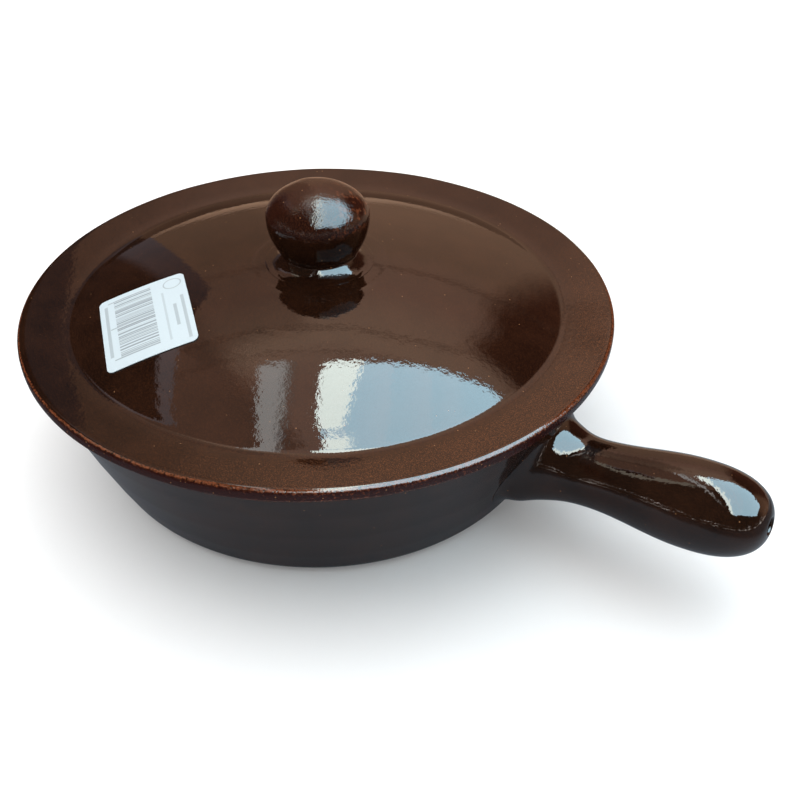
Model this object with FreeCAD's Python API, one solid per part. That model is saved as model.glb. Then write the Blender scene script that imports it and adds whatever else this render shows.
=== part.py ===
import FreeCAD, Part
import math
import os

# Lidded stoneware saucepan with one hollow side handle.
# Frame: origin at the centre of the standing ring on the table, +Z up, handle along +X.
# All sizes in millimetres, all angles in degrees.

# Bowl
MOUTH_R = 134.0          # outer radius at the rim
BASE_R = 109.5           # outer radius where side and underside would meet unrounded
RIM_HEIGHT = 70.6        # table to the top of the rim
WALL = 7.0
FLOOR = 8.0
SIDE_BEND_R = 520.0      # the side bows outwards a little, on this radius
BASE_ROUND = 12.0        # between side and foot
FLOOR_ROUND = 18.0       # inside, between side and floor
RIM_ROUND = 3.2          # each side of the rim
FOOT_WIDTH = 14.0        # flat standing ring, worked inwards from the base rounding
RECESS = 1.6             # the underside is set back this far inside the ring
RECESS_ROUND = 1.2       # softened inner edge of the ring

# Lid
LID_OVERHANG = 6.0       # beyond the rim of the bowl, all round
LID_EDGE = 7.9           # thickness at the edge
EDGE_ROUND = 3.5         # above and below the edge
SEAT_GAP = 0.2           # glaze film between rim and lid
FLANGE = 24.0            # from the edge in to the valley, the ring where flange and dome meet
VALLEY_DIP = 3.4         # depth of the valley below the top of the edge
VALLEY_ROUND = 9.0
DOME_RISE = 21.8         # valley to crown
DOME_WALL = 7.0
LOCATOR_PLAY = 3.0       # radial play of the locating ring in the mouth
LOCATOR_DEPTH = 6.0      # how far the ring drops below the seat
LOCATOR_WIDTH = 6.0      # its flat underside
LOCATOR_SLOPE = 10.0     # width of the slope from there up to the dome
LOCATOR_ROUND = 2.6
SEAT_ROUND = 1.2         # in the corner between seat and locating ring

# Knob
KNOB_R = 23.4
KNOB_HALF_HEIGHT = 18.6
KNOB_LIFT = 18.0         # crown of the dome to the widest level of the knob
KNOB_WALL = 6.5
NECK_R = 15.4
NECK_FOOT_R = 22.4       # the neck spreads to this radius on the dome
NECK_CREASE = 3.0        # rounding of the crease under the knob
KNOB_VENT_R = 1.5        # firing vent of the hollow knob, through the lid

# Handle, lengths along its axis from the side of the bowl
HANDLE_RISE = 9.0       # upward tilt
HANDLE_ROOT_Z = 37.4     # height of the axis at the side of the bowl
HANDLE_REACH = 104.0     # to the tip
HANDLE_WAIST_R = 15.4
HANDLE_WAIST_AT = 30.0
HANDLE_BULB_R = 19.2
HANDLE_BULB_AT = 72.0
HANDLE_BLUNT = 2.5       # 2 gives an elliptical end, more gives a blunter one
HANDLE_WALL = 5.0
VENT_R = 3.5             # firing vent in the end
VENT_ROUND = 1.0
ROOT_FROM = 28.0         # the root starts to spread here
ROOT_SIDE_SPREAD = 9.0   # extra half width of the root on the side of the bowl
ROOT_ROUND = 8.0         # rounding between root and bowl
ROOT_BELOW_RIM = 5.0     # unspread margin under the rim's rounding
ROOT_ABOVE_BASE = 2.0    # and above the base's rounding
ROOT_BITE = 0.03         # the rounding runs out this far under the bowl's skin
ROOT_DEPTH = 5.0         # the root is formed this far inside the bowl, then trimmed to it

# Paper label on the dome
LABEL_LONG = 54.0
LABEL_SHORT = 40.0
LABEL_THICK = 0.2
LABEL_GLUE = 0.1         # film of adhesive between dome and paper
LABEL_CORNER = 3.0
LABEL_INSET = 32.3       # from the valley in to its middle
LABEL_BEARING = 241.5    # round from the handle
LABEL_TURN = -37.2       # direction of its long side

# Fineness of the lofted handle
SECTION_POINTS = 16
SPREAD_SECTIONS = 7
BODY_SECTIONS = 6
END_SECTIONS = 7

SAME_EDGE = 0.02         # an edge this near to where it is looked for is the right one

ORIGIN = FreeCAD.Vector(0, 0, 0)
ALONG = FreeCAD.Vector(1, 0, 0)
ACROSS = FreeCAD.Vector(0, 1, 0)
UP = FreeCAD.Vector(0, 0, 1)


# Outline helpers

def point(r, z):
    return FreeCAD.Vector(r, 0, z)


def line(a, b):
    return Part.LineSegment(a, b).toShape()


def polyline(points):
    return [line(a, b) for a, b in zip(points, points[1:])]


def turned(edges):
    """Solid made by turning a closed half outline about the upright axis."""
    face = Part.Face(Part.Wire(edges))
    whole = face.revolve(ORIGIN, UP, 360)
    return Part.Solid(whole.Shells[0])


def circle_centre(a, b, radius):
    """Centre of the circle of this radius through a and b, to the left of a to b."""
    half = (b - a) * 0.5
    left = FreeCAD.Vector(-half.z, 0, half.x).normalize()
    return (a + b) * 0.5 + left * math.sqrt(radius ** 2 - half.Length ** 2)


def ring(shape, radius, z):
    """Circular edges of a turned shape at this radius and height."""
    found = []
    for edge in shape.Edges:
        if edge.Degenerated or not isinstance(edge.Curve, Part.Circle):
            continue
        off_radius = abs(edge.Curve.Radius - radius)
        off_height = abs(edge.Curve.Center.z - z)
        if max(off_radius, off_height) < SAME_EDGE:
            found.append(edge)
    return found


def clean(shape):
    """The one solid of a boolean result."""
    return shape.removeSplitter().Solids[0]


# Side of the bowl: an arc for the outer skin, and the same arc moved in for the inner one

SIDE_CENTRE = circle_centre(point(BASE_R, 0), point(MOUTH_R, RIM_HEIGHT), SIDE_BEND_R)
SIDE_LEAN = math.atan2(MOUTH_R - BASE_R, RIM_HEIGHT)
FLOOR_TOP = RECESS + FLOOR


def side_r(z, inset=0.0):
    """Radius of the side at height z, moved in from the outer skin by inset."""
    return SIDE_CENTRE.x + math.sqrt((SIDE_BEND_R - inset) ** 2 - (z - SIDE_CENTRE.z) ** 2)


def bucket(low, high, inset):
    """Solid bounded by the side between two heights."""
    middle = (low + high) / 2
    corners = [point(side_r(z, inset), z) for z in (low, middle, high)]
    edges = [
        line(point(0, low), corners[0]),
        Part.Arc(*corners).toShape(),
        line(corners[2], point(0, high)),
        line(point(0, high), point(0, low)),
    ]
    return turned(edges)


def bowl_block(inset=0.0):
    """The bowl filled to the rim, its side moved in by inset. Its seam faces away from the handle."""
    block = bucket(0, RIM_HEIGHT, inset)
    block.rotate(ORIGIN, UP, 180)
    return block.makeFillet(BASE_ROUND, ring(block, side_r(0, inset), 0))


def pan_bowl():
    inside = bucket(FLOOR_TOP, RIM_HEIGHT, WALL)
    inside = inside.makeFillet(FLOOR_ROUND, ring(inside, side_r(FLOOR_TOP, WALL), FLOOR_TOP))
    foot_inner_r = BASE_R - BASE_ROUND - FOOT_WIDTH
    recess = Part.makeCylinder(foot_inner_r, RECESS)
    bowl = bowl_block().cut(inside).cut(recess)
    rim = ring(bowl, side_r(RIM_HEIGHT), RIM_HEIGHT) + ring(bowl, side_r(RIM_HEIGHT, WALL), RIM_HEIGHT)
    bowl = bowl.makeFillet(RIM_ROUND, rim)
    return clean(bowl.makeFillet(RECESS_ROUND, ring(bowl, foot_inner_r, 0)))


# Handle: lofted along its axis in a level frame, then tilted and set on the side of the bowl

def set_handle(shape):
    placed = shape.copy()
    placed.rotate(ORIGIN, ACROSS, -HANDLE_RISE)
    placed.translate(point(side_r(HANDLE_ROOT_Z), HANDLE_ROOT_Z))
    return placed


def side_from_handle(z):
    """Where the side of the bowl lies at height z: distance along the handle, height over its axis."""
    rise = math.radians(HANDLE_RISE)
    out = side_r(z) - side_r(HANDLE_ROOT_Z)
    up = z - HANDLE_ROOT_Z
    return out * math.cos(rise) + up * math.sin(rise), up * math.cos(rise) - out * math.sin(rise)


ROOT_TOP_AT, ROOT_TOP = side_from_handle(RIM_HEIGHT - RIM_ROUND - ROOT_BELOW_RIM)
BASE_ROUND_TOP = BASE_ROUND * (1 - math.sin(SIDE_LEAN))
ROOT_UNDER_AT, ROOT_UNDER = side_from_handle(BASE_ROUND_TOP + ROOT_ABOVE_BASE)
ROOT_START = ROOT_UNDER_AT - ROOT_DEPTH


def spread(at, reached_at, extra):
    """Extra half size of the root: nothing at ROOT_FROM, all of extra where it reaches the bowl."""
    run = (ROOT_FROM - max(at, reached_at)) / (ROOT_FROM - reached_at)
    return extra * max(run, 0) ** 2


def handle_r(at):
    """Radius of the handle's body: straight waist, swelling bulb, blunt end."""
    if at >= HANDLE_BULB_AT:
        share = (at - HANDLE_BULB_AT) / (HANDLE_REACH - HANDLE_BULB_AT)
        return HANDLE_BULB_R * (1 - share ** HANDLE_BLUNT) ** (1 / HANDLE_BLUNT)
    share = max(at - HANDLE_WAIST_AT, 0) / (HANDLE_BULB_AT - HANDLE_WAIST_AT)
    return HANDLE_WAIST_R + (HANDLE_BULB_R - HANDLE_WAIST_R) * share ** 2 * (3 - 2 * share)


def section(at, across, over, under):
    """Egg-shaped closed curve square to the handle's axis."""
    points = []
    for k in range(SECTION_POINTS):
        angle = 2 * math.pi * k / SECTION_POINTS
        height = over if math.sin(angle) > 0 else under
        points.append(FreeCAD.Vector(at, across * math.cos(angle), height * math.sin(angle)))
    curve = Part.BSplineCurve()
    curve.interpolate(Points=points, PeriodicFlag=True)
    return Part.Wire([curve.toShape()])


def end_stations(least_r):
    """Stations from the bulb to the tip, closer together as the end rounds off."""
    length = HANDLE_REACH - HANDLE_BULB_AT
    last = (1 - (least_r / HANDLE_BULB_R) ** HANDLE_BLUNT) ** (1 / HANDLE_BLUNT)
    turn = math.asin(last)
    angles = [turn * k / END_SECTIONS for k in range(END_SECTIONS + 1)]
    return [HANDLE_BULB_AT + length * math.sin(a) for a in angles]


def handle_skin():
    sections = []
    for k in range(SPREAD_SECTIONS):
        at = ROOT_START + (ROOT_FROM - ROOT_START) * k / SPREAD_SECTIONS
        across = HANDLE_WAIST_R + spread(at, 0, ROOT_SIDE_SPREAD)
        over = HANDLE_WAIST_R + spread(at, ROOT_TOP_AT, ROOT_TOP - HANDLE_WAIST_R)
        under = HANDLE_WAIST_R + spread(at, ROOT_UNDER_AT, -ROOT_UNDER - HANDLE_WAIST_R)
        sections.append(section(at, across, over, under))
    body = [ROOT_FROM + (HANDLE_BULB_AT - ROOT_FROM) * k / BODY_SECTIONS for k in range(BODY_SECTIONS)]
    for at in body + end_stations(VENT_R / 2):
        r = handle_r(at)
        sections.append(section(at, r, r, r))
    return Part.makeLoft(sections, True, False)


def handle_hollow():
    """Inside of the handle: the body's outline moved in by the wall, closed by the bowl at the root."""
    length = HANDLE_REACH - HANDLE_BULB_AT
    squeeze = (length - HANDLE_WALL) / length
    points = [FreeCAD.Vector(ROOT_START, HANDLE_WAIST_R - HANDLE_WALL, 0)]
    for k in range(1, BODY_SECTIONS):
        at = HANDLE_WAIST_AT + (HANDLE_BULB_AT - HANDLE_WAIST_AT) * k / BODY_SECTIONS
        points.append(FreeCAD.Vector(at, handle_r(at) - HANDLE_WALL, 0))
    for at in end_stations(VENT_R):
        inner = HANDLE_BULB_AT + (at - HANDLE_BULB_AT) * squeeze
        shrink = (HANDLE_BULB_R - HANDLE_WALL) / HANDLE_BULB_R
        points.append(FreeCAD.Vector(inner, handle_r(at) * shrink, 0))
    profile = Part.BSplineCurve()
    profile.interpolate(points)
    first = FreeCAD.Vector(points[0].x, 0, 0)
    last = FreeCAD.Vector(points[-1].x, 0, 0)
    outline = Part.Wire([line(first, points[0]), profile.toShape(), line(points[-1], last), line(last, first)])
    return Part.Solid(Part.Face(outline).revolve(ORIGIN, ALONG, 360).Shells[0])


def pan_handle():
    block = bowl_block(ROOT_BITE)
    joined = block.fuse(set_handle(handle_skin()))
    seam = [edge for edge in joined.Edges if meets_bowl(edge)]
    joined = joined.makeFillet(ROOT_ROUND, seam)
    body = joined.cut(bowl_block())
    vent = Part.makeCylinder(VENT_R, HANDLE_REACH, ORIGIN, ALONG)
    body = clean(body.cut(set_handle(handle_hollow().fuse(vent))))
    return body.makeFillet(VENT_ROUND, [vent_mouth(body)])


def meets_bowl(edge):
    """True for the curve where the root meets the side of the bowl: wide, but no wider than the root."""
    box = edge.BoundBox
    root_width = 2 * (HANDLE_WAIST_R + ROOT_SIDE_SPREAD)
    wide = HANDLE_WAIST_R < box.YLength < root_width + ROOT_ROUND
    return wide and 0 < box.XMin and box.XMax < side_r(RIM_HEIGHT)


def vent_mouth(body):
    """The outermost edge of the vent."""
    return max(body.Edges, key=lambda edge: edge.CenterOfMass.x)


# Lid: all radii follow from the mouth of the bowl and all heights from its rim

LID_R = MOUTH_R + LID_OVERHANG
VALLEY_R = LID_R - FLANGE
SEAT_Z = RIM_HEIGHT + SEAT_GAP
EDGE_TOP_Z = SEAT_Z + LID_EDGE
VALLEY_Z = EDGE_TOP_Z - VALLEY_DIP
CROWN_Z = VALLEY_Z + DOME_RISE
DOME_R = (VALLEY_R ** 2 + DOME_RISE ** 2) / (2 * DOME_RISE)
DOME_CENTRE_Z = CROWN_Z - DOME_R


def dome_z(r, inset=0.0):
    """Height of the dome at radius r, moved in from the outer skin by inset."""
    return DOME_CENTRE_Z + math.sqrt((DOME_R - inset) ** 2 - r ** 2)


def dome_arc(from_r, to_r, inset=0.0):
    middle = (from_r + to_r) / 2
    return Part.Arc(*[point(r, dome_z(r, inset)) for r in (from_r, middle, to_r)]).toShape()


def lid_plate():
    ring_outer_r = side_r(RIM_HEIGHT, WALL) - LOCATOR_PLAY
    ring_inner_r = ring_outer_r - LOCATOR_WIDTH
    under_r = ring_inner_r - LOCATOR_SLOPE
    ring_z = SEAT_Z - LOCATOR_DEPTH
    under_z = dome_z(under_r, DOME_WALL)
    edges = [dome_arc(0, VALLEY_R)]
    edges += polyline([
        point(VALLEY_R, VALLEY_Z),
        point(LID_R, EDGE_TOP_Z),
        point(LID_R, SEAT_Z),
        point(ring_outer_r, SEAT_Z),
        point(ring_outer_r, ring_z),
        point(ring_inner_r, ring_z),
        point(under_r, under_z),
    ])
    edges.append(dome_arc(under_r, 0, DOME_WALL))
    edges.append(line(point(0, CROWN_Z - DOME_WALL), point(0, CROWN_Z)))
    lid = turned(edges)
    roundings = [
        (VALLEY_ROUND, VALLEY_R, VALLEY_Z),
        (EDGE_ROUND, LID_R, EDGE_TOP_Z),
        (EDGE_ROUND, LID_R, SEAT_Z),
        (SEAT_ROUND, ring_outer_r, SEAT_Z),
        (LOCATOR_ROUND, ring_outer_r, ring_z),
        (LOCATOR_ROUND, ring_inner_r, ring_z),
        (VALLEY_ROUND, under_r, under_z),
    ]
    for rounding, r, z in roundings:
        lid = lid.makeFillet(rounding, ring(lid, r, z))
    vent = Part.makeCylinder(KNOB_VENT_R, CROWN_Z)
    return clean(lid.cut(vent))


def lid_knob():
    middle = point(0, CROWN_Z + KNOB_LIFT)
    neck_turn = math.acos(NECK_R / KNOB_R)
    neck = middle + point(NECK_R, -KNOB_HALF_HEIGHT * math.sin(neck_turn))
    foot = point(NECK_FOOT_R, dome_z(NECK_FOOT_R))
    rise = neck.z - foot.z
    foot_round = ((NECK_FOOT_R - NECK_R) ** 2 + rise ** 2) / (2 * rise)
    half_turn = math.acos((foot_round - rise) / foot_round) / 2
    foot_centre = foot + point(0, foot_round)
    foot_middle = foot_centre - point(foot_round * math.sin(half_turn), foot_round * math.cos(half_turn))
    ball = Part.Ellipse(middle + point(KNOB_R, 0), middle + point(0, KNOB_HALF_HEIGHT), middle)
    edges = [
        Part.ArcOfEllipse(ball, -neck_turn, math.pi / 2).toShape(),
        line(middle + point(0, KNOB_HALF_HEIGHT), point(0, CROWN_Z)),
        dome_arc(0, NECK_FOOT_R),
        Part.Arc(foot, foot_middle, neck).toShape(),
    ]
    knob = turned(edges)
    knob = knob.makeFillet(NECK_CREASE, ring(knob, NECK_R, neck.z))
    hollow = Part.makeSphere(1)
    stretch = FreeCAD.Matrix()
    stretch.scale(KNOB_R - KNOB_WALL, KNOB_R - KNOB_WALL, KNOB_HALF_HEIGHT - KNOB_WALL)
    hollow = hollow.transformGeometry(stretch)
    hollow.translate(middle)
    bore = Part.makeCylinder(NECK_R - KNOB_WALL, middle.z)
    return clean(knob.cut(hollow).cut(bore))


def lid_label():
    """Rounded rectangle of paper lying on the dome."""
    inner = Part.makeSphere(DOME_R + LABEL_GLUE, point(0, DOME_CENTRE_Z))
    outer = Part.makeSphere(DOME_R + LABEL_GLUE + LABEL_THICK, point(0, DOME_CENTRE_Z))
    sheet = Part.makeBox(LABEL_LONG, LABEL_SHORT, CROWN_Z)
    upright = [edge for edge in sheet.Edges if edge.BoundBox.ZLength > LABEL_LONG]
    sheet = sheet.makeFillet(LABEL_CORNER, upright)
    sheet.translate(FreeCAD.Vector(-LABEL_LONG / 2, -LABEL_SHORT / 2, VALLEY_Z))
    sheet.rotate(ORIGIN, UP, LABEL_TURN)
    bearing = math.radians(LABEL_BEARING)
    out = FreeCAD.Vector(math.cos(bearing), math.sin(bearing), 0)
    sheet.translate(out * (VALLEY_R - LABEL_INSET))
    return clean(sheet.common(outer).cut(inner))


NODES = {
    "pan_bowl": pan_bowl,
    "pan_handle": pan_handle,
    "lid_plate": lid_plate,
    "lid_knob": lid_knob,
    "lid_label": lid_label,
}

os.makedirs("parts", exist_ok=True)
for name, make in NODES.items():
    make().exportStep("parts/" + name + ".step")
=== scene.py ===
import math

import bpy
from mathutils import Matrix, Vector


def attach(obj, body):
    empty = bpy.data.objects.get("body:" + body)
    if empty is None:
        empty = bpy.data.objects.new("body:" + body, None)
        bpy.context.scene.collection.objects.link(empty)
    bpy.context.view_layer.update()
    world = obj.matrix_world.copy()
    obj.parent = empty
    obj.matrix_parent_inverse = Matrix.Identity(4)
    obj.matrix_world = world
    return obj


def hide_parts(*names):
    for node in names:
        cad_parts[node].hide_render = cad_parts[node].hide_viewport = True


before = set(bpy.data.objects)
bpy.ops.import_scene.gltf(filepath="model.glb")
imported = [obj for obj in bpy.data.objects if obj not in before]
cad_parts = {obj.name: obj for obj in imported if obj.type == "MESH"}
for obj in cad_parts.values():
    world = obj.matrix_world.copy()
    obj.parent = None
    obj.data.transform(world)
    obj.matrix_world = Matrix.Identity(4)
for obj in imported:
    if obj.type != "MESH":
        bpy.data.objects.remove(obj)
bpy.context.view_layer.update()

# Lidded stoneware saucepan with a treacle-brown glaze.
# The frame is in metres. Sizes of the pottery are written in millimetres and multiplied by MM.

MM = 0.001
MERGE = 0.002 * MM           # points closer than this become one

# Camera
CAMERA_AT = (0.2579, -0.2982, 0.3198)
CAMERA_AZIMUTH = 34.75
CAMERA_ELEVATION = 39.24
CAMERA_ROLL = -1.01
CAMERA_LENS = 42.59
CAMERA_SENSOR = 36
CAMERA_SHIFT = (-0.0077, 0.0237)

# Bowl
MOUTH_R = 134.0
BASE_R = 109.5
RIM_HEIGHT = 70.6
WALL = 7.0
SIDE_BEND_R = 520.0
BASE_ROUND = 12.0
FLOOR_TOP = 9.6
FLOOR_ROUND = 18.0
RIM_ROUND = 3.2
RECESS = 1.6
RECESS_R = 83.5
RECESS_ROUND = 1.2

# Lid
LID_R = 140.0
SEAT_Z = 70.8
EDGE_TOP_Z = 78.7
EDGE_ROUND = 3.5
EDGE_TOP_ROUND = 2.2
RING_MARK_R = 32.0           # faint turned ring round the knob
RING_MARK_HALF = 2           # half its width
RING_MARK_RISE = 0.14
RING_MARK_ROUND = 3.0
VALLEY_R = 116.0
VALLEY_Z = 75.3
VALLEY_ROUND = 9.0
CROWN_Z = 97.1
DOME_WALL = 7.0
LID_VENT_R = 1.5
RING_OUTER_R = 124.0
RING_INNER_R = 118.0
RING_Z = 64.8
UNDER_R = 108.0
SEAT_ROUND = 1.2
RING_ROUND = 2.6
CREST_R = LID_R - 1.0        # middle of the worn line on the edge

# Knob
KNOB_R = 24.0
KNOB_WIDEST_Z = 118.4
KNOB_RISE = 15.3             # from its widest level to its top
KNOB_DROP = 25.7             # half axis of the egg below its widest level
NECK_SPREAD = 12.0           # radius of the hollow sweep from knob to lid
NECK_FOOT_R = 25.8
FOOT_LIFT = 0.01             # keeps the foot clear of the dome it stands on
BORE_R = 8.9
HOLLOW_HALF_WIDTH = 16.9
HOLLOW_HALF_HEIGHT = 12.1
HOLLOW_Z = 115.1

# Label
LABEL_MIDDLE = (-39.94, -73.56)
LABEL_TURN = -37.2           # direction of its long side
BAR_WIDTH = 1.0
BARS = (-1.1, 22.1, -4.6, 8.6)         # middle and half length, middle and half width
BARS_INK = 0.62
GUARDS = (-22.8, -1.1, 20.6)           # places of the longer bars
GUARD_HALF = 0.3
GUARD_FIELD = (-6.0, 10.0)             # middle and half width
GUARD_INK = 0.5
PRINT_SOFT = 0.1                       # softness of every printed edge
RING_AT = (-20.0, 14.0)      # along the long side, across it
RING_RADIUS = 4.0
RING_HALF = 0.25
RING_INK = 0.4
# Printed rules: middle and half length along the long side, middle and half width across it, strength
RULES = (
    (-1.3, 19.5, -17.0, 0.7, 0.35),
    (3.5, 18.0, 8.8, 0.45, 0.22),
    (5.4, 8.0, 13.2, 0.7, 0.35),
    (8.0, 16.0, 17.0, 0.7, 0.35),
)

# Stage, in metres. Places are given to the camera's right and ahead of it, from the pan's axis
FLOOR_R = 8.0
LIGHT_HEIGHT = 1.6
SOFT_LIGHT_SIZE = 2.56
SOFT_LIGHT_AT = (-0.64, 0.64)
SOFT_LIGHT_STRENGTH = 1.5
WINDOW_LOW = (-0.4, -1.2)    # corners of the window card, in heights of the card
WINDOW_HIGH = (1.8, 0.6)
DARK_CARD_END = (-0.181, 0.254)
DARK_CARD_TURN = 212.6       # direction in which it runs on from there
DARK_CARD_SIZE = (0.40, 0.80)
SECOND_BOUNCE_LOSS = 0.8     # share of a card's light that a second mirroring loses


# Scene helpers

def turned_to_camera(right, forward, up=0.0):
    """A point given by the camera's right and forward directions, in the row frame."""
    turn = math.radians(CAMERA_AZIMUTH)
    x = right * math.cos(turn) - forward * math.sin(turn)
    y = right * math.sin(turn) + forward * math.cos(turn)
    return Vector((x, y, up))


def make_camera():
    turn, rise, roll = (math.radians(a) for a in (CAMERA_AZIMUTH, CAMERA_ELEVATION, CAMERA_ROLL))
    back = Vector((math.sin(turn) * math.cos(rise), -math.cos(turn) * math.cos(rise), math.sin(rise)))
    level = Vector((math.cos(turn), math.sin(turn), 0))
    upright = back.cross(level)
    right = math.cos(roll) * level - math.sin(roll) * upright
    up = math.sin(roll) * level + math.cos(roll) * upright
    data = bpy.data.cameras.new("camera")
    data.lens = CAMERA_LENS
    data.sensor_width = CAMERA_SENSOR
    data.shift_x, data.shift_y = CAMERA_SHIFT
    data.clip_start, data.clip_end = 0.01, 50
    camera = bpy.data.objects.new("camera", data)
    camera.matrix_world = Matrix.Translation(CAMERA_AT) @ Matrix((right, up, back)).transposed().to_4x4()
    bpy.context.scene.collection.objects.link(camera)
    bpy.context.scene.camera = camera


def soft_light():
    """Even light from above that the gloss doesn't mirror."""
    data = bpy.data.lights.new("soft_light", "AREA")
    data.size = SOFT_LIGHT_SIZE
    data.energy = SOFT_LIGHT_STRENGTH * math.pi * data.size ** 2
    light = bpy.data.objects.new("soft_light", data)
    light.location = turned_to_camera(*SOFT_LIGHT_AT, LIGHT_HEIGHT)
    light.rotation_euler = (0, 0, math.radians(CAMERA_AZIMUTH))
    light.visible_camera = light.visible_glossy = False
    bpy.context.scene.collection.objects.link(light)


def card(name, low, high, matrix, paint):
    """A flat card that only the gloss mirrors. Low and high are its corners before matrix places it.

    Paint gives its colour, brightness and cover.
    """
    deselect_all()
    bpy.ops.mesh.primitive_plane_add(size=1, location=((low[0] + high[0]) / 2, (low[1] + high[1]) / 2, 0))
    piece = bpy.context.object
    piece.name = name
    piece.scale = (high[0] - low[0], high[1] - low[1], 1)
    bpy.ops.object.transform_apply(location=True, scale=True)
    piece.matrix_world = matrix
    for ray in ("camera", "diffuse", "transmission", "volume_scatter", "shadow"):
        setattr(piece, "visible_" + ray, False)
    material, n = new_material(name + "_paint")
    colour, brightness, cover = paint(n, *n.add("ShaderNodeSeparateXYZ", {"Vector": n.here()}).outputs[:2])
    bounces = n.add("ShaderNodeLightPath").outputs["Glossy Depth"]
    fading = n.math("MULTIPLY_ADD", n.math("GREATER_THAN", bounces, 1.5), -SECOND_BOUNCE_LOSS, 1.0)
    brightness = n.math("MULTIPLY", brightness, fading)
    glow = n.add("ShaderNodeEmission", {"Color": colour, "Strength": brightness})
    clear = n.add("ShaderNodeBsdfTransparent")
    both = n.add("ShaderNodeMixShader", {0: cover, 1: clear.outputs[0], 2: glow.outputs[0]})
    n.add("ShaderNodeOutputMaterial", {"Surface": both.outputs[0]})
    dress(piece, material)


# Node helpers

class Nodes:
    """Short hand for building a node tree."""

    def __init__(self, tree):
        self.tree = tree
        tree.nodes.clear()

    def add(self, kind, inputs=None, **settings):
        node = self.tree.nodes.new(kind)
        for name, value in settings.items():
            setattr(node, name, value)
        for name, value in (inputs or {}).items():
            self.put(node.inputs[name], value)
        return node

    def put(self, socket, value):
        if isinstance(value, bpy.types.NodeSocket):
            self.tree.links.new(value, socket)
        else:
            socket.default_value = value

    def math(self, operation, a, b=0.0, c=0.0):
        return self.add("ShaderNodeMath", {0: a, 1: b, 2: c}, operation=operation).outputs[0]

    def ramp(self, value, low, high):
        """0 below low, 1 above high, smooth in between. High may be below low."""
        node = self.add("ShaderNodeMapRange", {"Value": value}, interpolation_type="SMOOTHSTEP")
        if low < high:
            ends = (low, high, 0.0, 1.0)
        else:
            ends = (high, low, 1.0, 0.0)
        for name, end in zip(("From Min", "From Max", "To Min", "To Max"), ends):
            node.inputs[name].default_value = end
        return node.outputs[0]

    def steps(self, value, *stops):
        """Colour along a value, straight from one (place, colour) stop to the next."""
        colour = stops[0][1]
        for (low, _), (high, after) in zip(stops, stops[1:]):
            reach = {"Value": value, "From Min": low, "From Max": high}
            share = self.add("ShaderNodeMapRange", reach).outputs[0]
            colour = self.mix(share, colour, after)
        return colour

    def band(self, value, middle, half, soft):
        """1 within half of middle, falling to 0 over soft."""
        off = self.math("ABSOLUTE", self.math("SUBTRACT", value, middle))
        return self.ramp(off, half + soft, half)

    def mix(self, factor, a, b):
        node = self.add("ShaderNodeMix", data_type="RGBA")
        self.put(node.inputs["Factor"], factor)
        self.put(node.inputs[6], a)
        self.put(node.inputs[7], b)
        return node.outputs[2]

    def noise(self, where, scale, detail=2.0, roughness=0.5):
        inputs = {"Vector": where, "Scale": scale, "Detail": detail, "Roughness": roughness}
        return self.add("ShaderNodeTexNoise", inputs).outputs["Fac"]

    def here(self):
        return self.add("ShaderNodeTexCoord").outputs["Object"]


def new_material(name):
    material = bpy.data.materials.new(name)
    material.use_nodes = True
    return material, Nodes(material.node_tree)


def dress(piece, material):
    piece.data.materials.clear()
    piece.data.materials.append(material)


# Modelling helpers

def deselect_all():
    bpy.ops.object.select_all(action="DESELECT")


def arc(centre, radius, start, end, step):
    """Points on an arc, start and end given as angles in radians."""
    count = max(2, math.ceil(abs(end - start) * radius / step))
    angles = [start + (end - start) * k / count for k in range(count + 1)]
    return [centre + radius * Vector((math.cos(a), math.sin(a))) for a in angles]


def rounded(corners, step):
    """Outline through corners (r, z, rounding), each corner with a rounding replaced by an arc."""
    points = []
    count = len(corners)
    for k, (r, z, rounding) in enumerate(corners):
        corner = Vector((r, z))
        if not rounding:
            points.append(corner)
            continue
        before = (Vector(corners[k - 1][:2]) - corner).normalized()
        after = (Vector(corners[(k + 1) % count][:2]) - corner).normalized()
        half = before.angle(after) / 2
        centre = corner + (before + after).normalized() * (rounding / math.sin(half))
        first = corner + before * (rounding / math.tan(half)) - centre
        last = corner + after * (rounding / math.tan(half)) - centre
        start = math.atan2(first.y, first.x)
        turn = math.atan2(first.x * last.y - first.y * last.x, first.dot(last))
        points += arc(centre, rounding, start, start + turn, step)
    return points


def refined(points, step):
    """The same outline with its long runs divided."""
    fine = [points[0]]
    for a, b in zip(points, points[1:]):
        count = max(1, math.ceil((b - a).length / step))
        fine += [a.lerp(b, k / count) for k in range(1, count + 1)]
    return fine


def turned_piece(name, outline, steps):
    """Draws a half outline point by point in edit mode, then turns it about the upright axis."""
    deselect_all()
    first = outline[0] * MM
    bpy.ops.mesh.primitive_plane_add(size=MM, location=(first.x, 0, first.y))
    piece = bpy.context.object
    piece.name = name
    bpy.ops.object.transform_apply(location=True)
    bpy.ops.object.mode_set(mode="EDIT")
    bpy.ops.mesh.merge(type="CENTER")
    for a, b in zip(outline, outline[1:]):
        move = (b - a) * MM
        bpy.ops.mesh.extrude_vertices_move(TRANSFORM_OT_translate={"value": (move.x, 0, move.y)})
    bpy.ops.object.mode_set(mode="OBJECT")
    lathe = piece.modifiers.new("lathe", "SCREW")
    lathe.steps = lathe.render_steps = steps
    lathe.use_merge_vertices = True
    lathe.merge_threshold = MERGE
    bpy.ops.object.modifier_apply(modifier=lathe.name)
    bpy.ops.object.mode_set(mode="EDIT")
    bpy.ops.mesh.select_all(action="SELECT")
    bpy.ops.mesh.remove_doubles(threshold=MERGE)
    bpy.ops.mesh.normals_make_consistent(inside=False)
    bpy.ops.object.mode_set(mode="OBJECT")
    return piece


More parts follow.
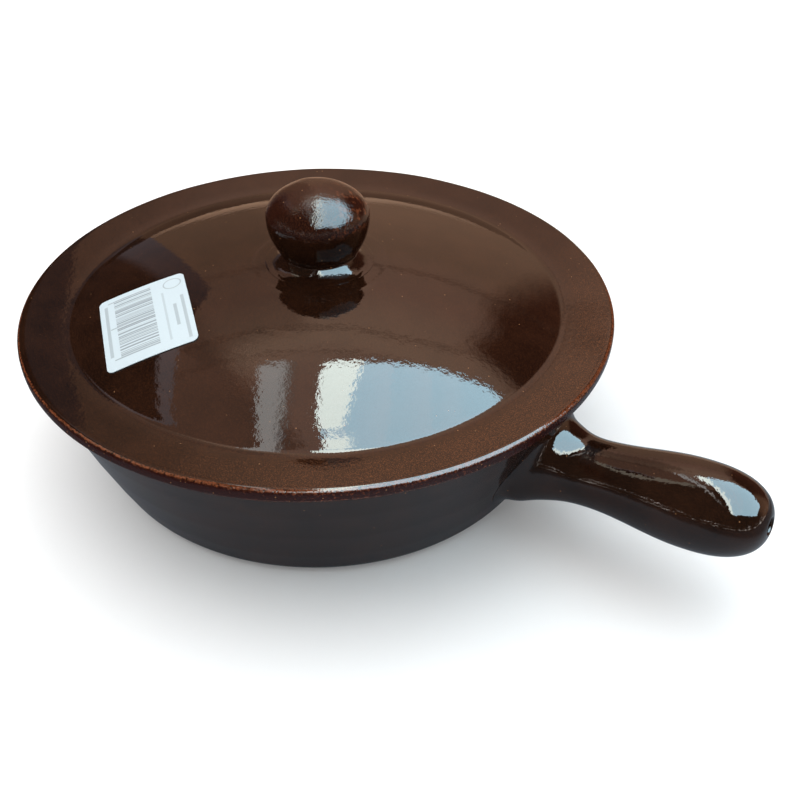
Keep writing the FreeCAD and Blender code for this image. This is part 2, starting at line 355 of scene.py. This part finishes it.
def make_uneven(piece, lump, depth):
    """Slow unevenness of hand-worked clay: the skin sinks by up to depth, in lumps this wide."""
    texture = bpy.data.textures.new(piece.name + "_lumps", "CLOUDS")
    texture.noise_scale = lump * MM
    texture.noise_depth = 1
    deselect_all()
    bpy.context.view_layer.objects.active = piece
    piece.select_set(True)
    modifier = piece.modifiers.new("uneven", "DISPLACE")
    modifier.texture = texture
    modifier.texture_coords = "LOCAL"
    modifier.mid_level = 1.0
    modifier.strength = depth * MM
    bpy.ops.object.modifier_apply(modifier=modifier.name)


def smooth(piece, angle=40):
    deselect_all()
    bpy.context.view_layer.objects.active = piece
    piece.select_set(True)
    bpy.ops.object.shade_smooth_by_angle(angle=math.radians(angle))


# Pieces

SIDE_HALF = Vector((MOUTH_R - BASE_R, RIM_HEIGHT)) / 2
SIDE_LEFT = Vector((-SIDE_HALF.y, SIDE_HALF.x)).normalized()
SIDE_SETBACK = math.sqrt(SIDE_BEND_R ** 2 - SIDE_HALF.length ** 2)
SIDE_CENTRE = Vector((BASE_R, 0)) + SIDE_HALF + SIDE_LEFT * SIDE_SETBACK
DOME_RISE = CROWN_Z - VALLEY_Z
DOME_R = (VALLEY_R ** 2 + DOME_RISE ** 2) / (2 * DOME_RISE)
DOME_CENTRE = Vector((0, CROWN_Z - DOME_R))


def side_r(z, inset=0.0):
    return SIDE_CENTRE.x + math.sqrt((SIDE_BEND_R - inset) ** 2 - (z - SIDE_CENTRE.y) ** 2)


def side_corners(low, high, inset, count):
    """Points up the side of the bowl, without its ends."""
    heights = [low + (high - low) * k / count for k in range(1, count)]
    return [(side_r(z, inset), z, 0) for z in heights]


def dome_z(r, inset=0.0):
    return DOME_CENTRE.y + math.sqrt((DOME_R - inset) ** 2 - r ** 2)


def dome_corners(from_r, to_r, inset, count):
    """Points along the dome, without its ends."""
    radii = [from_r + (to_r - from_r) * k / count for k in range(1, count)]
    return [(r, dome_z(r, inset), 0) for r in radii]


def make_bowl():
    corners = [(0, FLOOR_TOP, 0), (side_r(FLOOR_TOP, WALL), FLOOR_TOP, FLOOR_ROUND)]
    corners += side_corners(FLOOR_TOP, RIM_HEIGHT, WALL, 3)
    corners += [(side_r(RIM_HEIGHT, WALL), RIM_HEIGHT, RIM_ROUND), (MOUTH_R, RIM_HEIGHT, RIM_ROUND)]
    corners += side_corners(RIM_HEIGHT, 0, 0, 4)
    corners += [(BASE_R, 0, BASE_ROUND), (RECESS_R, 0, RECESS_ROUND), (RECESS_R, RECESS, 0), (0, RECESS, 0)]
    bowl = turned_piece("bowl_wall", refined(rounded(corners, step=0.9), step=1.8), steps=360)
    make_uneven(bowl, lump=45.0, depth=0.12)
    smooth(bowl)
    dress(bowl, glaze("bowl_glaze", ripple=1.0, satin=0.12))
    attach(bowl, "pan")
    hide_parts("pan_bowl")


def make_lid():
    ring_in, ring_out = RING_MARK_R - RING_MARK_HALF, RING_MARK_R + RING_MARK_HALF
    corners = [(LID_VENT_R, dome_z(LID_VENT_R), 0)]
    corners += dome_corners(LID_VENT_R, ring_in, 0, 6)
    corners += [
        (ring_in, dome_z(ring_in), 0),
        (RING_MARK_R, dome_z(RING_MARK_R) + RING_MARK_RISE, RING_MARK_ROUND),
        (ring_out, dome_z(ring_out), 0),
    ]
    corners += dome_corners(ring_out, VALLEY_R, 0, 15)
    corners += [
        (VALLEY_R, VALLEY_Z, VALLEY_ROUND),
        (LID_R, EDGE_TOP_Z, EDGE_TOP_ROUND),
        (LID_R, SEAT_Z, EDGE_ROUND),
        (RING_OUTER_R, SEAT_Z, SEAT_ROUND),
        (RING_OUTER_R, RING_Z, RING_ROUND),
        (RING_INNER_R, RING_Z, RING_ROUND),
        (UNDER_R, dome_z(UNDER_R, DOME_WALL), VALLEY_ROUND),
    ]
    corners += dome_corners(UNDER_R, LID_VENT_R, DOME_WALL, 18)
    corners += [(LID_VENT_R, dome_z(LID_VENT_R, DOME_WALL), 0), corners[0]]
    lid = turned_piece("lid_shell", refined(rounded(corners, step=0.7), step=1.7), steps=420)
    make_uneven(lid, lump=45.0, depth=0.3)
    smooth(lid)
    dress(lid, glaze("lid_glaze", ripple=1.0, breaks=lid_edge_breaks))
    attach(lid, "lid")
    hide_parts("lid_plate")


def egg(angle, height):
    """A point on the knob's outline, above its widest level for a height above 0."""
    return Vector((KNOB_R * math.cos(angle), KNOB_WIDEST_Z + height * math.sin(angle)))


def make_knob():
    slope = math.asin(NECK_FOOT_R / DOME_R)
    foot = Vector((NECK_FOOT_R, dome_z(NECK_FOOT_R) + FOOT_LIFT))
    sweep_middle = foot + NECK_SPREAD * Vector((math.sin(slope), math.cos(slope)))
    sweep = arc(sweep_middle, NECK_SPREAD, math.pi, 1.5 * math.pi - slope, step=0.5)
    below = [p for p in sweep if p.y < egg(math.acos(min(1, p.x / KNOB_R)), -KNOB_DROP).y]
    turn = math.acos(below[0].x / KNOB_R)
    upper, lower, inner = 40, 30, 16     # runs on each stretch of the outline
    outline = [egg(math.pi / 2 * k / upper, KNOB_RISE) for k in range(upper, 0, -1)]
    outline += [egg(turn * k / lower, -KNOB_DROP) for k in range(lower)]
    outline += below
    outline += [Vector((r, dome_z(r))) for r in (20, 17, 14, 11, BORE_R)]
    bore_turn = math.acos(BORE_R / HOLLOW_HALF_WIDTH)
    for k in range(inner + 1):
        a = -bore_turn + (math.pi / 2 + bore_turn) * k / inner
        rise = HOLLOW_HALF_HEIGHT * math.sin(a)
        outline.append(Vector((HOLLOW_HALF_WIDTH * math.cos(a), HOLLOW_Z + rise)))
    knob = turned_piece("knob_ball", refined(outline, step=1.0), steps=160)
    make_uneven(knob, lump=11.0, depth=0.5)
    smooth(knob, angle=60)
    dress(knob, glaze("knob_glaze", ripple=2.2, breaks=knob_breaks))
    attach(knob, "lid")
    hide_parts("lid_knob")


# Finishes

DARK_BODY = (0.0048, 0.0020, 0.0013, 1)
WARM_BODY = (0.0110, 0.0043, 0.0024, 1)
COPPER_GRAIN = (0.095, 0.032, 0.011, 1)
GOLD_SPECK = (0.20, 0.10, 0.045, 1)
THIN_COPPER = (0.14, 0.040, 0.016, 1)
MAROON = (0.016, 0.0030, 0.0022, 1)
PAPER = (0.47, 0.545, 0.58, 1)
PAPER_SHADE = (0.43, 0.505, 0.54, 1)
INK = (0.06, 0.06, 0.065, 1)

POOLS = 60.0                 # noise scales, per metre
GRAINS = 2300.0
SPECKS = 480.0
PEEL = 420.0
FINE_PEEL = 1300.0
PITS = 1100.0
STRAYS = 700.0
WIPES = 300.0
FIBRES = 900.0
PEEL_DEPTH = 0.03 * MM
PIT_DEPTH = 10.0             # in depths of the peel
STRAY_WIDTH = 1.6            # width over which the worn line on the edge strays
LIT_SIDE = (7.0, -1.5)     # how the painted sheen rises towards the lit side along x and y, per metre; the other side gets painted shade
KNOB_LIT_SIDE = (0.82, 0.57)    # direction of the knob's lit side, where its copper is painted as a sheen


def glaze(name, ripple, grain=0.18, satin=0.03, breaks=None):
    """Treacle-brown glaze under a clear gloss, rippled like orange peel.

    Ripple scales the peel, grain is the strength of the fine copper grains and satin the roughness of
    the gloss. Breaks gives masks: where the glaze runs thin to copper, where it is dark, where it has
    more grains (on the lid's lit side a painted sheen), where it is pitted and where its gloss is
    weakened (on the lid's other side a painted shade). Extra golden specks in a dark band are painted
    glints.
    """
    material, n = new_material(name)
    where = n.here()
    pool = n.noise(where, POOLS, 4.0)
    colour = n.mix(n.ramp(pool, 0.35, 0.7), DARK_BODY, WARM_BODY)
    grains = n.ramp(n.noise(where, GRAINS, 2.0), 0.46, 0.64)
    coat = 1.0
    if breaks:
        thin, dark, grains_and_sheen, pitted, painted_shade = breaks(n, where)
        # Extra grains from breaks are, on the lid's lit side, a painted sheen
        grain = n.math("MULTIPLY_ADD", grains_and_sheen, 0.6, grain)
        # A gloss weakened by breaks, on the lid's unlit side, is a painted shade
        coat = n.math("MULTIPLY_ADD", painted_shade, -0.35, n.math("MULTIPLY_ADD", dark, -0.4, 1.0))
    colour = n.mix(n.math("MULTIPLY", grains, grain), colour, COPPER_GRAIN)
    cells = n.add("ShaderNodeTexVoronoi", {"Vector": where, "Scale": SPECKS})
    chance = n.add("ShaderNodeSeparateColor", {"Color": cells.outputs["Color"]}).outputs[0]
    height = n.math("MULTIPLY_ADD", n.noise(where, FINE_PEEL, 1.0), 0.25, n.noise(where, PEEL, 2.0))
    if breaks:
        colour = n.mix(dark, colour, MAROON)
        # Extra golden specks in the dark band are painted glints
        chance = n.math("MULTIPLY_ADD", n.math("GREATER_THAN", dark, 0.7), 0.35, chance)
        colour = n.mix(thin, colour, THIN_COPPER)
        pits = n.noise(where, PITS, 2.0)
        height = n.math("MULTIPLY_ADD", pits, n.math("MULTIPLY", pitted, PIT_DEPTH), height)
    speck = n.math("MULTIPLY", n.ramp(cells.outputs["Distance"], 0.18, 0.10), n.ramp(chance, 0.95, 0.995))
    colour = n.mix(speck, colour, GOLD_SPECK)
    bump = n.add("ShaderNodeBump", {"Height": height, "Distance": PEEL_DEPTH * ripple, "Strength": 1.0})
    shader = n.add("ShaderNodeBsdfPrincipled", {
        "Base Color": colour,
        "Roughness": 0.45,
        "Specular IOR Level": 0.0,
        "Coat Weight": coat,
        "Coat Roughness": satin,
        "Coat IOR": 1.5,
        "Coat Normal": bump.outputs[0],
    })
    n.add("ShaderNodeOutputMaterial", {"Surface": shader.outputs[0]})
    return material


def lid_edge_breaks(n, where):
    """The crest of the lid's edge wears thin to copper, the band below it is dark and pitted.

    On the lit side of the flange the copper grains are thicker, a painted sheen, and the worn copper
    crest is wider, partly a painted highlight. On the other side the gloss is weaker, a painted shade.
    """
    x, y, z = n.add("ShaderNodeSeparateXYZ", {"Vector": where}).outputs
    square = n.math("ADD", n.math("MULTIPLY", x, x), n.math("MULTIPLY", y, y))
    far = n.math("MULTIPLY", n.math("SQRT", square), 1 / MM)
    stray = n.math("SUBTRACT", n.noise(where, STRAYS, 4.0, 0.65), 0.5)
    straying = n.math("MULTIPLY_ADD", stray, STRAY_WIDTH, far)
    upper = n.ramp(z, SEAT_Z * MM, (SEAT_Z + 4.0) * MM)
    worn = n.ramp(n.noise(where, PITS, 2.0), 0.30, 0.62)
    # The flange's lit side, towards the light at the front right: painted sheen there, painted shade on the
    # other side
    toward_lit_side = n.math("MULTIPLY_ADD", x, LIT_SIDE[0], n.math("MULTIPLY", y, LIT_SIDE[1]))
    lit_side = n.ramp(toward_lit_side, 0.1, 0.95)
    off = n.math("ABSOLUTE", n.math("SUBTRACT", straying, CREST_R))
    # The worn copper crest is glaze running thin; on the lit side it is widened to tint its highlight, a
    # painted highlight
    crest = n.ramp(n.math("MULTIPLY_ADD", lit_side, -0.3, off), 0.50, 0.10)
    thin = n.math("MULTIPLY", crest, n.math("MULTIPLY", upper, worn))
    dark = n.ramp(straying, LID_R - 0.7, LID_R - 0.3)
    flange = n.ramp(far, VALLEY_R - 4, VALLEY_R + 10)
    # Thicker copper grains on the lit side of the flange are a painted sheen
    grains_and_sheen = n.math("MULTIPLY", flange, lit_side)
    # The weaker gloss on the other side of the flange is a painted shade
    painted_shade = n.math("SUBTRACT", flange, grains_and_sheen)
    pitted = n.ramp(far, LID_R - 1.2, LID_R - 0.5)
    return thin, dark, grains_and_sheen, pitted, painted_shade


def knob_breaks(n, where):
    """The crown of the knob has grains and pits, as if wiped before firing. Copper on its lit side is a
    painted sheen.
    """
    x, y, z = n.add("ShaderNodeSeparateXYZ", {"Vector": where}).outputs
    crown = n.ramp(z, (KNOB_WIDEST_Z - 3.0) * MM, (KNOB_WIDEST_Z + 3.0) * MM)
    wiped = n.ramp(n.noise(where, WIPES, 4.0, 0.6), 0.48, 0.66)
    # The copper on the crown is painted mostly on the knob's lit side, a painted sheen
    side = n.math("MULTIPLY_ADD", x, KNOB_LIT_SIDE[0], n.math("MULTIPLY", y, KNOB_LIT_SIDE[1]))
    side = n.ramp(side, 4.0 * MM, 17.0 * MM)
    thin = n.math("MULTIPLY", n.math("MULTIPLY", crown, wiped), n.math("MULTIPLY_ADD", side, 0.7, 0.03))
    dark, grains_and_sheen, pitted = (n.math("MULTIPLY", crown, share) for share in (0.5, 0.4, 0.20))
    return thin, dark, grains_and_sheen, pitted, 0.0


def label_paper():
    """White paper printed with plain bars, rules and a ring. There is no lettering."""
    material, n = new_material("label_print")
    turn = math.radians(LABEL_TURN)
    middle = Vector((*LABEL_MIDDLE, 0)) * MM
    place = n.add("ShaderNodeMapping", {"Vector": n.here(), "Location": middle, "Rotation": (0, 0, turn)},
                  vector_type="TEXTURE")
    along, across, _ = n.add("ShaderNodeSeparateXYZ", {"Vector": place.outputs[0]}).outputs
    along = n.math("MULTIPLY", along, 1 / MM)
    across = n.math("MULTIPLY", across, 1 / MM)

    def field(along_middle, along_half, across_middle, across_half):
        return n.math("MULTIPLY", n.band(along, along_middle, along_half, PRINT_SOFT),
                      n.band(across, across_middle, across_half, PRINT_SOFT))

    run = n.math("MULTIPLY", along, 1 / BAR_WIDTH)
    toss = n.add("ShaderNodeTexNoise", {"W": run, "Scale": 1.0, "Detail": 1.0}, noise_dimensions="1D")
    bar = n.ramp(toss.outputs["Fac"], 0.44, 0.56)
    ink = n.math("MULTIPLY", n.math("MULTIPLY", bar, field(*BARS)), BARS_INK)
    for guard in GUARDS:
        ink = n.math("MAXIMUM", ink, n.math("MULTIPLY", field(guard, GUARD_HALF, *GUARD_FIELD), GUARD_INK))
    for *place_and_size, strength in RULES:
        ink = n.math("MAXIMUM", ink, n.math("MULTIPLY", field(*place_and_size), strength))
    off_along = n.math("SUBTRACT", along, RING_AT[0])
    off_across = n.math("SUBTRACT", across, RING_AT[1])
    reach = n.math("SQRT", n.math("ADD", n.math("MULTIPLY", off_along, off_along),
                                  n.math("MULTIPLY", off_across, off_across)))
    ring = n.band(reach, RING_RADIUS, RING_HALF, PRINT_SOFT)
    ink = n.math("MAXIMUM", ink, n.math("MULTIPLY", ring, RING_INK))
    fibre = n.noise(n.here(), FIBRES, 3.0)
    colour = n.mix(ink, n.mix(fibre, PAPER_SHADE, PAPER), INK)
    shader = n.add("ShaderNodeBsdfPrincipled", {"Base Color": colour, "Roughness": 0.5})
    n.add("ShaderNodeOutputMaterial", {"Surface": shader.outputs[0]})
    return material


# Stage

FLOOR_PALE = (0.83, 0.83, 0.83, 1)
FLOOR_SHADE = (0.81, 0.81, 0.81, 1)
FLOOR_COOL = (0.19, 0.215, 0.25, 1)      # as the gloss mirrors it, on the camera's side
FLOOR_WARM = (0.36, 0.21, 0.12, 1)       # and behind the pan
FLOOR_DARK = (0.04, 0.04, 0.045, 1)      # and further off on the camera's side
SKY = (0.57, 0.85, 1.0, 1)
SKY_HAZE = (0.72, 0.87, 0.98, 1)
SKY_BRIGHT = 12.0
BLIND = (0.90, 1.0, 0.94, 1)
BLIND_BRIGHTER = 5.0                     # than the sky
GREY_BLIND = (1.0, 0.97, 0.93, 1)
GREY_BRIGHT = 4.0
CARD_DARK = (0.05, 0.025, 0.02, 1)
CARD_END = (0.16, 0.13, 0.14, 1)
CARD_TOP = (0.95, 0.78, 0.80, 1)
ROOM_LIGHT = (1.10, 1.10, 1.10, 1)
WARM_WALL = (                            # rise of the mirrored ray, colour
    (0.0, (0.41, 0.24, 0.155, 1)),
    (0.40, (0.76, 0.44, 0.29, 1)),
    (0.64, (1.26, 0.71, 0.51, 1)),
    (0.83, (2.05, 1.30, 0.91, 1)),
    (0.92, (1.75, 1.05, 0.80, 1)),
)
LEFT_WALL = (0.88, 0.48, 0.34, 1)
DARK_CORNER = (0.16, 0.05, 0.03, 1)
RIGHT_WALL = (0.85, 0.45, 0.27, 1)
BACK_WALL = (0.10, 0.07, 0.05, 1)
SILL = (1.9, 1.7, 1.35, 1)
DARK_LINE = (0.2, 0.1, 0.07, 1)
SLIT = (5.5, 5.0, 4.6, 1)
SPARK = (7.0, 6.2, 5.8, 1)
BLACK = (0, 0, 0, 1)

# Bearings are in degrees. A wall has the places where it starts and where it is full, a band has its
# middle, half width and softness.
LEFT_WALL_BEARING = (-30.0, -40.0)
DARK_CORNER_BEARING = (26.0, 35.0)
RIGHT_WALL_BEARING = (60.0, 75.0)
BACK_WALL_BEARING = (-76.0, -86.0)
SHADE_BEARING = (-25.0, 11.0, 7.0)
SHADE_DEPTH = 0.42
SILL_BEARING = (-78.0, 5.0, 3.0)
SILL_RISE = (0.76, 0.13, 0.05)
SLIT_RISE = (0.03, 0.010, 0.006)
SPARK_RISE = (0.14, 0.010, 0.006)
WALL_LINES = ((0.62, 0.010), (1.33, 0.016), (1.72, 0.016))      # height on the wall, half width
LINE_STRENGTH = 0.45
GLEAMS = 9.0                             # noise scales over the directions of mirrored rays
SPARKS = 26.0
FLOOR_GRAINS = 40.0                      # noise scale, per metre


def make_floor():
    deselect_all()
    bpy.ops.mesh.primitive_circle_add(vertices=128, radius=FLOOR_R, fill_type="NGON")
    floor = bpy.context.object
    floor.name = "floor"
    material, n = new_material("pale_floor")
    grain = n.noise(n.here(), FLOOR_GRAINS, 3.0)
    tone = n.mix(grain, FLOOR_SHADE, FLOOR_PALE)
    glossy = n.add("ShaderNodeLightPath").outputs["Is Glossy Ray"]
    x, y, z = n.add("ShaderNodeSeparateXYZ", {"Vector": n.here()}).outputs
    turn = math.radians(CAMERA_AZIMUTH)
    ahead = n.math("MULTIPLY_ADD", x, -math.sin(turn), n.math("MULTIPLY", y, math.cos(turn)))
    mirrored = n.mix(n.ramp(ahead, 0.02, 0.25), FLOOR_COOL, FLOOR_WARM)
    away = n.add("ShaderNodeVectorMath", {0: n.here()}, operation="LENGTH").outputs["Value"]
    beyond = n.math("MULTIPLY", n.ramp(away, 0.26, 0.40), n.ramp(ahead, 0.1, 0.0))
    mirrored = n.mix(beyond, mirrored, FLOOR_DARK)
    tone = n.mix(glossy, tone, mirrored)
    shader = n.add("ShaderNodeBsdfPrincipled", {"Base Color": tone, "Roughness": 0.7})
    n.add("ShaderNodeOutputMaterial", {"Surface": shader.outputs[0]})
    dress(floor, material)


def make_cards():
    level = Matrix.Rotation(math.radians(CAMERA_AZIMUTH), 4, "Z")
    overhead = Matrix.Translation((0, 0, LIGHT_HEIGHT)) @ level
    low, high = (Vector(corner) * LIGHT_HEIGHT for corner in (WINDOW_LOW, WINDOW_HIGH))
    card("window_card", low, high, overhead, window_paint)
    there = Matrix.Translation(turned_to_camera(*DARK_CARD_END))
    facing = Matrix.Rotation(math.radians(DARK_CARD_TURN + CAMERA_AZIMUTH), 4, "Z")
    upright = Matrix.Rotation(math.pi / 2, 4, "X")
    card("dark_card", (0, 0), DARK_CARD_SIZE, there @ facing @ upright, dark_paint)


def window_paint(n, across, ahead):
    """A pale sky with a white blind at its left and a grey one further off.

    u and v are its places across and ahead in heights of the card.
    """
    u = n.math("MULTIPLY", across, 1 / LIGHT_HEIGHT)
    v = n.math("MULTIPLY", ahead, 1 / LIGHT_HEIGHT)
    # The left edge is set in at its near and its far end
    left = n.math("MULTIPLY_ADD", n.ramp(v, 0.19, 0.06), 0.042, -0.064)
    left = n.math("MULTIPLY_ADD", n.ramp(v, 0.36, 0.46), 0.028, left)
    # The far edge rises, runs level and falls to the right
    top = n.math("MINIMUM", n.math("MULTIPLY_ADD", u, 0.14, 0.453), 0.508)
    top = n.math("MINIMUM", top, n.math("MULTIPLY_ADD", u, -0.6, 0.848))
    inside = n.math("MULTIPLY", n.math("GREATER_THAN", u, left), n.math("LESS_THAN", v, top))
    # Haze grows across each of the left panes
    share = n.math("FRACT", n.math("MULTIPLY_ADD", u, 6.9, -0.31))
    pane = n.math("MULTIPLY", n.math("MULTIPLY", share, n.ramp(u, 0.5, 0.4)), 0.45)
    sky = n.mix(pane, SKY, SKY_HAZE)
    # The white blind hangs along the left edge and is wider at its near end
    blind = n.math("LESS_THAN", u, n.math("MULTIPLY_ADD", v, 0.165, 0.007))
    blind = n.math("MULTIPLY", blind, n.math("GREATER_THAN", v, 0.128))
    near = n.math("MULTIPLY", n.ramp(u, 0.09, 0.05), n.ramp(v, 0.108, 0.098))
    blind = n.math("MAXIMUM", blind, near)
    colour = n.mix(blind, sky, BLIND)
    bright = n.math("MULTIPLY_ADD", blind, BLIND_BRIGHTER, SKY_BRIGHT)
    # The grey blind lies left of the window
    edge = n.math("MULTIPLY_ADD", v, -0.09, -0.237)
    grey = n.math("MULTIPLY", n.math("GREATER_THAN", u, edge), n.ramp(u, -0.14, -0.20))
    grey = n.math("MULTIPLY", grey, n.ramp(v, 0.455, 0.435))
    grey = n.math("MULTIPLY", grey, n.math("LESS_THAN", u, -0.1))
    bright = n.math("MULTIPLY", bright, inside)
    bright = n.math("MULTIPLY_ADD", grey, GREY_BRIGHT, bright)
    colour = n.mix(grey, colour, GREY_BLIND)
    return colour, bright, n.math("MAXIMUM", inside, grey)


def dark_paint(n, along, rise):
    """Dark, with a purple-grey border. Its top rises away from its near end."""
    top = n.math("MULTIPLY_ADD", n.math("MULTIPLY_ADD", along, 1.67, 1.0), along, 0.29)
    under = n.math("SUBTRACT", top, rise)
    colour = n.mix(n.ramp(along, 0.045, 0.030), CARD_DARK, CARD_END)
    upper = n.math("MULTIPLY", n.ramp(under, 0.085, 0.060), n.ramp(along, 0.05, 0.12))
    colour = n.mix(upper, colour, CARD_TOP)
    return colour, 1.0, n.math("GREATER_THAN", under, 0.0)


def make_world():
    """White all round for soft light, and walls that only the gloss mirrors.

    They are warm ahead of the camera and dark beside it. Bearing is the mirrored ray's angle to the
    right of the camera's direction, up is its rise.
    """
    world = bpy.data.worlds.new("studio")
    world.use_nodes = True
    bpy.context.scene.world = world
    n = Nodes(world.node_tree)
    way = n.add("ShaderNodeTexCoord").outputs["Generated"]
    turn = n.add("ShaderNodeMapping", {"Vector": way}, vector_type="POINT")
    turn.inputs["Rotation"].default_value = (0, 0, -math.radians(CAMERA_AZIMUTH))
    right, forward, up = n.add("ShaderNodeSeparateXYZ", {"Vector": turn.outputs[0]}).outputs
    bearing = n.math("DEGREES", n.math("ARCTAN2", right, forward))
    warm = n.steps(up, *WARM_WALL)
    low = n.ramp(up, 0.76, 0.70)
    near_dark = n.math("MULTIPLY_ADD", n.ramp(up, 0.66, 0.52), 5.0, bearing)
    right_dark = n.math("MULTIPLY", n.ramp(near_dark, *DARK_CORNER_BEARING), low)
    around = n.mix(n.ramp(bearing, *LEFT_WALL_BEARING), warm, LEFT_WALL)
    shade = n.math("MULTIPLY", n.band(bearing, *SHADE_BEARING), n.ramp(up, 0.84, 0.76))
    around = n.mix(n.math("MULTIPLY", shade, SHADE_DEPTH), around, BLACK)
    around = n.mix(right_dark, around, DARK_CORNER)
    around = n.mix(n.ramp(bearing, *RIGHT_WALL_BEARING), around, RIGHT_WALL)
    around = n.mix(n.ramp(bearing, *BACK_WALL_BEARING), around, BACK_WALL)
    sill = n.math("MULTIPLY", n.band(bearing, *SILL_BEARING), n.band(up, *SILL_RISE))
    around = n.mix(sill, around, SILL)
    wall_rise = n.math("DIVIDE", up, n.math("MAXIMUM", forward, 0.05))
    for rise, half in WALL_LINES:
        line = n.math("MULTIPLY", n.band(wall_rise, rise, half, half), LINE_STRENGTH)
        around = n.mix(line, around, DARK_LINE)
    around = n.mix(n.ramp(forward, -0.1, -0.4), around, BACK_WALL)
    gleams = n.math("MULTIPLY", n.ramp(forward, 0.3, 0.0), n.ramp(n.noise(way, GLEAMS, 2.0), 0.45, 0.60))
    slit = n.math("MULTIPLY", n.band(up, *SLIT_RISE), gleams)
    around = n.mix(slit, around, SLIT)
    sparks = n.math("MULTIPLY", n.ramp(n.noise(way, SPARKS, 2.0), 0.54, 0.62), n.ramp(forward, 0.2, 0.0))
    around = n.mix(n.math("MULTIPLY", n.band(up, *SPARK_RISE), sparks), around, SPARK)
    glossy = n.add("ShaderNodeLightPath").outputs["Is Glossy Ray"]
    colour = n.mix(glossy, ROOM_LIGHT, around)
    lit = n.add("ShaderNodeBackground", {"Color": colour, "Strength": 1.0})
    n.add("ShaderNodeOutputWorld", {"Surface": lit.outputs[0]})


bpy.context.scene.view_settings.view_transform = "Standard"
make_camera()
make_floor()
make_cards()
soft_light()
make_world()
make_bowl()
make_lid()
make_knob()
dress(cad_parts["pan_handle"], glaze("handle_glaze", ripple=2.0, grain=0.12))
dress(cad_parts["lid_label"], label_paper())
